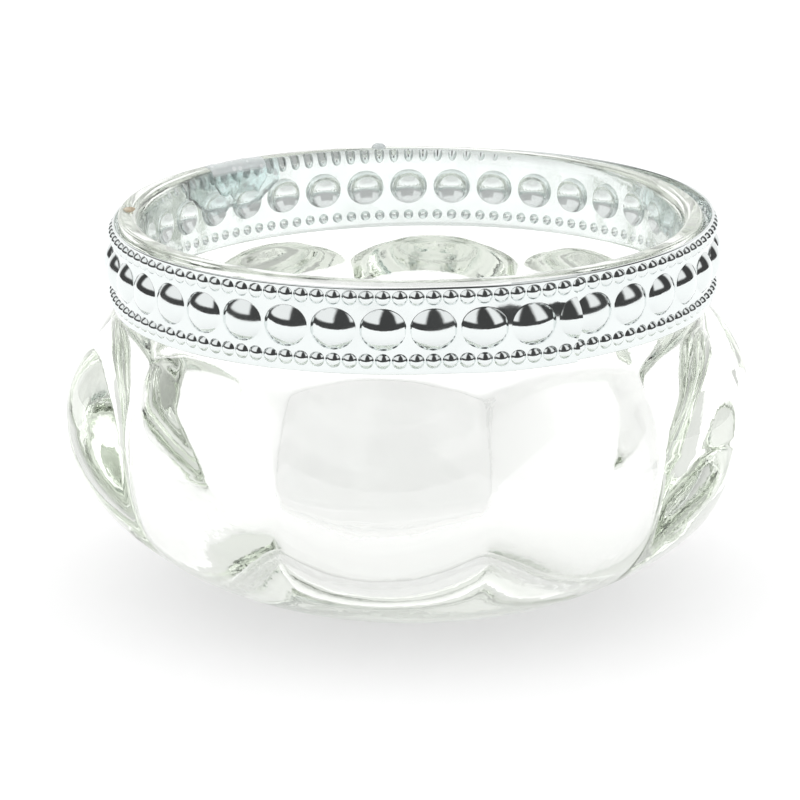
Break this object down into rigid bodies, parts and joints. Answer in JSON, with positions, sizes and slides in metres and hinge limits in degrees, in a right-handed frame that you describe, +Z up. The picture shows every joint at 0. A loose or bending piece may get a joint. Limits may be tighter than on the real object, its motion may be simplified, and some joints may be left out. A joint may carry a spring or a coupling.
{
  "type": "votive candle holder",
  "caption": "Low melon-lobed clear glass bowl with a thick base, and a stamped silvered strip of beads between pearl rows glued round its straight neck, for a tealight or votive candle.",
  "frame": {"origin": "middle of the flat foot, on the surface that the holder stands on", "axes": "+Z up through the mouth; -Y is the front, at the middle of a lobe; the strip's seam is at the front right, towards +X"},
  "size_m": [0.089, 0.092, 0.0508],
  "materials": {
    "glass": "clear, fire-polished, with a faint grey-green tint in thick places",
    "silver": "bright silvered, slightly cool",
    "glue": "milky translucent hot-melt, satin",
    "glue_brown": "dry tan hot-melt scrap"
  },
  "bodies": {
    "root": {"glass_bowl": "glass", "band_strip": "silver", "glue_right_pad": "glue", "glue_rear_pad": "glue", "glue_seam_pad": "glue", "glue_lap_film": "glue", "glue_lip_smear": "glue", "glue_lip_drop": "glue", "glue_lip_scrap": "glue_brown"}
  },
  "joints": []
}
